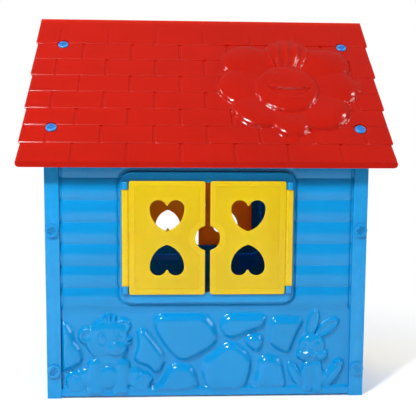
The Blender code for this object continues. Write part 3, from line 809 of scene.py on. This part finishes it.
def flower_height(u, v):
    """Eight petals round a smiling disc; heights stand over the crest plane."""
    x, z = u - FLOWER[0], FLOWER[1] - v
    reach = np.hypot(x, z)
    height = np.zeros(u.shape)
    for k, (angle, far, length, width) in enumerate(PETALS):
        center = (far * cos(radians(angle)), far * sin(radians(angle)))
        a, b = turned(x, z, center, angle)
        inside = np.clip(1 - (a / length) ** 2 - (b / width) ** 2, 0, 1)
        stand = 0.006 + 0.001 * (k % 2) + 0.011 * smooth(0.085, 0.185, reach)
        petal = stand * inside ** 0.48
        if k == 0:
            flutes = np.cos(34.3 * (np.arctan2(z, x) - radians(95.5)))
            petal += 0.0034 * flutes * smooth(0.1, 0.45, inside)
        height = np.maximum(height, petal)
    disc = dome(x, z, (0, -.002), DISC, .02, 0, .0095)
    height = np.maximum(height, disc)
    for eye in ((-.031, .05), (.045, .053)):
        height += dome(x, z, eye, (.0075, .0125), .0026)
    arc = np.clip(1 - ((x - .007) / .065) ** 2, 0, 1)
    lip = np.clip(1 - ((x - .004) / .054) ** 2, 0, 1)
    upper, lower, chin = .004 - .013 * arc, .004 - .048 * arc ** 0.8, .004 - .068 * lip
    height -= 0.0075 * smooth(0, .003, upper - z) * smooth(0, .005, z - lower)
    return height + 0.0024 * smooth(0, .006, lower - z) * smooth(0, .004, z - chin)


def roof_relief(u, v):
    """Tiles, with the flower laid over them."""
    s = np.minimum(v, EAVE_S)
    flower = flower_height(u, s)
    tiles = course_height(u, s) * smooth(EAVE_S + 0.005, EAVE_S + 0.001, v)
    return tiles * smooth(0.004, 0.0, flower) + flower


def roof_place(u, v, n):
    """Slope, then eave board: the sheet turns down at the eave."""
    s = np.minimum(v, EAVE_S)
    drop = v - s
    x = u + np.sign(u) * (verge(v) - ROOF_HALF) * smooth(0.455, 0.492, np.abs(u))
    y = -s * cos(ROOF_ANGLE) - n * sin(ROOF_ANGLE)
    z = HEIGHT - s * sin(ROOF_ANGLE) + n * cos(ROOF_ANGLE) - drop
    z -= 0.001 * smooth(EAVE_S - 0.004, EAVE_S, v) * (drop == 0)
    y = np.where(drop > 0, -EAVE_Y + 0.0002, np.clip(y, -EAVE_Y, -GAP))
    return x, y, np.minimum(z, slope_height(GAP, 0))


def roof_inside(co):
    """Plain inner side: a slope parallel to the tiles, and the eave board's back."""
    y = np.maximum(co[:, 1] + ROOF_DEEP * -sin(ROOF_ANGLE), -EAVE_Y + SKIN)
    y = np.minimum(y, -GAP)
    z = np.minimum(co[:, 2], slope_height(-y, ROOF_DEEP))
    return np.column_stack((co[:, 0], y, z))


# %% Roof sheet
def joint_lines():
    """Grid lines across the roof, close together at every possible joint."""
    near = np.array([-.0066, -.0056, -.0045, -.0034, -.0022, .0022, .0034, .0045, .0056, .0066])
    out = [-ROOF_HALF, -.4955, ROOF_HALF, .4955]
    for k in range(-7, 8):
        out += [x for x in k * TILE / 2 + near if abs(x) < .4955]
        a, b = k * TILE / 2 + .0066, (k + 1) * TILE / 2 - .0066
        a, b = max(a, -.4955), min(b, .4955)
        pitch = 0.0024 if 0.02 < (a + b) / 2 < 0.45 else 0.0085
        out += list(lines((a, pitch), (b, 0))[1:-1]) if a < b else []
    return np.unique(np.round(out, 6))


def course_lines():
    """Grid lines down the slope, with a few at each course's edge."""
    out = [0.0, EAVE_S - 0.004, EAVE_S - 0.0015, EAVE_S]
    out += list(EAVE_S + np.array([0.0012, 0.003, 0.0055, 0.008, 0.0102, 0.0122, 0.0138,
                                   0.0152, EAVE_DROP]))
    starts, ends = (0.0,) + COURSES, COURSES + (EAVE_S - 0.004,)
    for start, end in zip(starts, ends):
        if start:
            out += [start + 0.0005, start + 0.003]
        out += [end - 0.0035, end - 0.0018, end] if end < EAVE_S - 0.01 else []
        a = start + (0.003 if start else 0)
        splits = [a] + [s for s in (0.09, 0.515) if a < s < end - 0.0035] + [end - 0.0035]
        for low, high in zip(splits, splits[1:]):
            pitch = 0.0024 if 0.09 <= low < 0.515 else 0.009
            out += list(lines((low, pitch), (high, 0)))
    return np.unique(np.round(out, 6))


tray = raise_sheet("roof tray", joint_lines(), course_lines(), roof_relief, roof_place)
back_sheet(tray, roof_inside)
print("roof sheet", len(tray.data.polygons), "faces")

# %% [markdown]
# The verge boards are slim bars under the ends of the courses. Each bolt sits
# in a round recess, cut square to the slope.

# %% Verge boards and bolt recesses
ROOF_BOLT_X, ROOF_BOLT_S, ROOF_SEAT, SEAT_R = 0.418, (0.124, 0.481), 0.0045, 0.0185
BOARD_FOOT = -0.0117


def on_slope(x, s):
    """Matrix of a point on the front slope: its Z axis points out of it."""
    y, z = slope_point(s, 0)
    return Matrix.Translation((x, y, z)) @ Matrix.Rotation(ROOF_ANGLE, 4, "X")


boards, recesses = [], []
for side in (-1, 1):
    board = [(-0.001, slope_height(0.001, -0.0045)), (-0.4395, slope_height(0.4395, -0.0045)),
             (-0.4395, slope_height(0.4395, BOARD_FOOT)),
             (-0.001, slope_height(0.001, BOARD_FOOT))]
    boards.append(plate("board", board, "X", *sorted((side * 0.4895, side * 0.4925)), 0.0008))
    for s in ROOF_BOLT_S:
        recess = plate("recess", circle((0, 0), SEAT_R, 48), "Z", -ROOF_SEAT, 0.012)
        recess.data.transform(on_slope(side * ROOF_BOLT_X, s))
        recesses.append(recess)
fuse_all(tray, boards)
fuse_all(tray, recesses, "DIFFERENCE")
print("roof", len(tray.data.polygons), "faces")
back_tray = twin(tray, HALF_TURN)
settle(tray, "roof_front", "house", RED)
settle(back_tray, "roof_back", "house", RED)

# %% [markdown]
# ## Shutters and half door
# A leaf is a thick plate with a rounded border, a panel sunk inside it and
# hearts cut through. Its flat hinge strip has a pin at each end.

# %% Leaf helpers
LEAF_THICK = 0.006
HAND_R, HAND_Z = 0.033, 0.44
HEART_X, HEARTS = 0.108, ((0.4998, 1), (0.3812, -1))
HEART_HALF, HEART_TIP, LOBE = 0.0458, 0.0415, (0.0233, 0.0195)


def heart(center, up=1, steps=20):
    """Heart outline from arcs; up is -1 for a heart that stands on its lobes.

    A lobe is a circle, and a long arc runs from its side to the blunt tip.
    """
    lobe_r = HEART_HALF - LOBE[0]
    drop = LOBE[1] + HEART_TIP
    side_r = (HEART_HALF ** 2 + drop ** 2) / (2 * HEART_HALF)
    half = [(LOBE[0] + lobe_r * cos(turn), LOBE[1] + lobe_r * sin(turn))
            for turn in np.linspace(radians(160), 0, steps, endpoint=False)]
    half += [(HEART_HALF - side_r + side_r * cos(turn), LOBE[1] - side_r * sin(turn))
             for turn in np.linspace(0, asin(drop / side_r), steps, endpoint=False)]
    outline = [(0, half[0][1])] + half + [(0, -HEART_TIP)] + [(-x, z) for x, z in reversed(half)]
    return [(center[0] + x, center[1] + up * z) for x, z in outline]


def hinge_pin(axis, z_span):
    return plate("pin", circle(axis, 0.003, 20), "Z", z_span[0] - 0.012, z_span[1] + 0.012, 0.0006)


# %% Shutters
def leaf_outline(side, x_span, z_span, hole_r, corner):
    """Leaf outline with a half-round bite for the hand hole in its inner edge."""
    reach = asin((hole_r ** 2 - x_span[0] ** 2) ** 0.5 / hole_r)
    bite = [(hole_r * cos(a), HAND_Z + hole_r * sin(a)) for a in np.linspace(reach, -reach, 28)]
    body = rounded(x_span, z_span, corner, 4)
    outline = body[:10] + bite + body[10:]
    return [(side * x, z) for x, z in outline]


def shutter(side):
    """Front shutter on the left (-1) or right (1)."""
    y0, y1 = HINGE_Y - LEAF_THICK / 2, HINGE_Y + LEAF_THICK / 2
    leaf = plate("leaf", leaf_outline(side, (0.0067, 0.2085), (0.2877, 0.592), HAND_R, 0.0065),
                 "Y", y0, y1, 0.002, 3)
    hearts = [plate("heart", heart((side * HEART_X, z), up), "Y", -0.45, -0.4)
              for z, up in HEARTS]
    panel = plate("panel", leaf_outline(side, (0.0215, 0.193), (0.3035, 0.578), 0.05, 0.005),
                  "Y", y0 - 0.01, y0 + 0.0012)
    fuse_all(leaf, [panel] + hearts, "DIFFERENCE")
    soften(leaf, 0.0009, 2, 50)
    x, y = side * HINGE_X, HINGE_Y
    web = block(sorted((x, side * 0.2055)), (y0 + 0.0015, y1 - 0.0005), BARREL_Z)
    strip = plate("strip", rounded((x - 0.0086, x + 0.0086), (y - 0.0045, y + 0.0045), 0.003, 4),
                  "Z", *BARREL_Z, 0.0007)
    return fuse(leaf, fuse_all(strip, [hinge_pin((x, y), BARREL_Z), web]))


for word, side, opposite in (("left", -1, "right"), ("right", 1, "left")):
    leaf = shutter(side)
    far = twin(leaf, HALF_TURN)
    settle(leaf, f"shutter_front_{word}", f"shutter_front_{word}", YELLOW)
    settle(far, f"shutter_back_{opposite}", f"shutter_back_{opposite}", YELLOW)
    print("shutter", word, len(leaf.data.polygons), "faces")

# %% Half door
DOOR_MARGIN = 0.016
x, y = DOOR_AXIS
door_y, door_z = (y + 0.0105, DOOR_HALF + 0.0045), (DOOR_SILL - 0.0045, 0.455)
front = x + LEAF_THICK / 2
door = plate("door", rounded(door_y, door_z, 0.012, 6), "X", x - LEAF_THICK / 2, front, 0.002, 3)
sunk = rounded((door_y[0] + DOOR_MARGIN, door_y[1] - DOOR_MARGIN),
               (door_z[0] + DOOR_MARGIN, door_z[1] - DOOR_MARGIN), 0.008, 5)
fuse_all(door, [plate("panel", sunk, "X", front - 0.0012, front + 0.01),
                plate("heart", heart((0, 0.33)), "X", 0.4, 0.46)], "DIFFERENCE")
soften(door, 0.0009, 2, 50)
web = block((x - 0.0025, x + 0.0015), (y, y + 0.014), DOOR_BARREL)
strip = plate("strip", rounded((x - 0.0045, x + 0.0045), (y - 0.0086, y + 0.0086), 0.003, 4),
              "Z", *DOOR_BARREL, 0.0007)
fuse(door, fuse_all(strip, [hinge_pin(DOOR_AXIS, DOOR_BARREL), web]))
settle(door, "half_door", "half_door", YELLOW)

# %% [markdown]
# ## Bolts and nuts
# The heads are wide and flat enough for a child-safe house, with a slot for a
# coin and a grip groove on each side of it. One bolt is turned up from a
# cylinder by insetting and raising its top, then copied to every place.

# %% Bolt and nut
HEAD_R = 0.0145


def bolt(length):
    """Bolt along -Z with its head's seat at z = 0."""
    bpy.ops.object.select_all(action="DESELECT")
    bpy.ops.mesh.primitive_cylinder_add(vertices=40, radius=HEAD_R, depth=0.0035,
                                        location=(0, 0, 0.00175))
    head = bpy.context.object
    head.data.transform(head.matrix_world)
    head.matrix_world = Matrix()
    for face in head.data.polygons:
        face.select = face.normal.z > 0.9
    bpy.ops.object.mode_set(mode="EDIT")
    bpy.ops.mesh.select_mode(type="FACE")
    for inset, rise in ((0.0012, 0.0012), (0.0022, 0.001), (0.004, 0.0007), (0.003, 0.0002)):
        bpy.ops.mesh.inset(thickness=inset, depth=rise)
    bpy.ops.object.mode_set(mode="OBJECT")
    for offset, half_length, half_width in ((0, .0122, .002), (.0058, .01, .0013),
                                            (-.0058, .01, .0013)):
        slot = block((-half_length, half_length), (offset - half_width, offset + half_width),
                     (0.0038, 0.012))
        slot.data.transform(Matrix.Rotation(radians(45), 4, "Z"))
        fuse(head, slot, "DIFFERENCE")
    fuse(head, plate("shank", circle((0, 0), 0.004, 20), "Z", -length, 0.001))
    return soften(head, 0.0004, 2, 40)


def hex_nut():
    """Nut from z = 0 down, with a clear bore."""
    nut = plate("nut", circle((0, 0), 0.013 / 3 ** 0.5, 6), "Z", -0.0065, 0, 0.0006)
    return fuse(nut, plate("bore", circle((0, 0), HOLE_R, 20), "Z", -0.02, 0.01), "DIFFERENCE")


# %% Place the fasteners
# Every bolt stops at its own angle when it is tight.
WALL_GRIP = 2 * SKIN + 2 * GAP
TURNS = {("left", "low"): 8, ("left", "high"): -6, ("right", "low"): 86, ("right", "high"): 3}
wall_bolt, roof_bolt, nut = bolt(WALL_GRIP + 0.0085), bolt(0.0121), hex_nut()
for word, opposite, side in (("left", "right", -1), ("right", "left", 1)):
    for level, z, s in (("low", BOLT_Z[0], ROOF_BOLT_S[1]), ("high", BOLT_Z[1], ROOF_BOLT_S[0])):
        screw = Matrix.Rotation(radians(TURNS[word, level]), 4, "Z")
        on_wall = Matrix.Translation((side * BOLT_X, -PILLAR_FACE - GAP, z)) \
            @ Matrix.Rotation(pi / 2, 4, "X")
        on_roof = on_slope(side * ROOF_BOLT_X, s) @ Matrix.Translation((0, 0, GAP - ROOF_SEAT))
        behind = on_wall @ Matrix.Translation((0, 0, -WALL_GRIP - GAP))
        for face, way, turn in (("front", word, Matrix()), ("back", opposite, HALF_TURN)):
            spot = f"{face}_{way}_{level}"
            settle(twin(wall_bolt, turn @ on_wall @ screw), f"wall_bolt_{spot}", "house",
                   BLUE)
            settle(twin(roof_bolt, turn @ on_roof @ screw), f"roof_bolt_{spot}", "house",
                   BOLT_BLUE)
            settle(twin(nut, turn @ behind), f"wall_nut_{spot}", "house",
                   NUT_GREY)
for pattern in (wall_bolt, roof_bolt, nut):
    bpy.data.objects.remove(pattern)

# %% [markdown]
# ## Studio
# The house stands on a plain pale floor under soft light: a bright even sky
# and one wide lamp from the upper left that draws the highlights. The camera
# looks at the front wall from a little left of the middle and from above.

# %% Floor, light and camera
bpy.ops.object.select_all(action="DESELECT")
bpy.ops.mesh.primitive_plane_add(size=14, location=(0, 0, 0))
floor = bpy.context.object
floor.name = "studio_floor"
paper = bpy.data.materials.new("Matt white paper")
paper.use_nodes = True
tree = paper.node_tree
matt = tree.nodes["Principled BSDF"]
matt.inputs["Base Color"].default_value = linear("#F7F7F7")
matt.inputs["Roughness"].default_value = 0.9
# Away from the house the paper turns white to the eye, so no horizon shows behind the house.
reach = node(tree, "VectorMath", {"operation": "LENGTH"},
             Vector=node(tree, "TexCoord").outputs["Object"])
fade = node(tree, "MapRange", {"From Min": 0.6, "From Max": 1.25})
tree.links.new(reach.outputs["Value"], fade.inputs["Value"])
eye = node(tree, "LightPath").outputs["Is Camera Ray"]
share = node(tree, "Math", {"operation": "MULTIPLY"})
tree.links.new(fade.outputs[0], share.inputs[0])
tree.links.new(eye, share.inputs[1])
white = node(tree, "Emission", {"Strength": 1.0})
blend = node(tree, "MixShader")
tree.links.new(share.outputs[0], blend.inputs[0])
tree.links.new(matt.outputs[0], blend.inputs[1])
tree.links.new(white.outputs[0], blend.inputs[2])
tree.links.new(blend.outputs[0], tree.nodes["Material Output"].inputs["Surface"])
floor.data.materials.append(paper)


def softbox(name, place, target, size, power):
    light = bpy.data.lights.new(name, "AREA")
    light.shape, light.size, light.size_y, light.energy = "RECTANGLE", *size, power
    lamp = bpy.data.objects.new(name, light)
    bpy.context.collection.objects.link(lamp)
    lamp.location = place
    lamp.rotation_euler = (Vector(target) - Vector(place)).to_track_quat("-Z", "Y").to_euler()


softbox("key_softbox", (-1.35, -2.4, 3.0), (0, 0, 0.5), (0.55, 0.55), 148)
softbox("left_strip", (-1.7, -0.45, 2.4), (0.2, -0.3, 0.85), (0.2, 0.6), 7)
softbox("right_strip", (1.8, -0.45, 2.4), (0.2, -0.3, 0.85), (0.2, 0.6), 7)
softbox("right_softbox", (2.8, -1.0, 1.5), (0, 0, 0.5), (1.2, 1.2), 24)
softbox("back_softbox", (0.6, 3.0, 2.2), (0, 0, 0.5), (2.0, 1.4), 110)

# The backdrop is white to the eye, and gives less light than it shows.
world = bpy.data.worlds.new("studio_sky")
bpy.context.scene.world = world
world.use_nodes = True
backdrop = world.node_tree.nodes["Background"]
backdrop.inputs["Color"].default_value = (1, 1, 1, 1)
seen = node(world.node_tree, "LightPath").outputs["Is Camera Ray"]
level = node(world.node_tree, "MapRange", {"To Min": 0.21, "To Max": 1.0}, Value=seen)
world.node_tree.links.new(level.outputs[0], backdrop.inputs["Strength"])
bpy.context.scene.view_settings.view_transform = "Standard"

camera = bpy.data.objects.new("camera", bpy.data.cameras.new("camera"))
bpy.context.collection.objects.link(camera)
camera.location = (-0.1007, -2.4111, 0.7405)
camera.rotation_euler = (Matrix.Rotation(-0.0505, 4, "Z") @ Matrix.Rotation(pi / 2 - 0.1094, 4, "X")
                         @ Matrix.Rotation(0.0066, 4, "Z")).to_euler()
camera.data.lens = 65.8
camera.data.clip_end = 50
bpy.context.scene.camera = camera
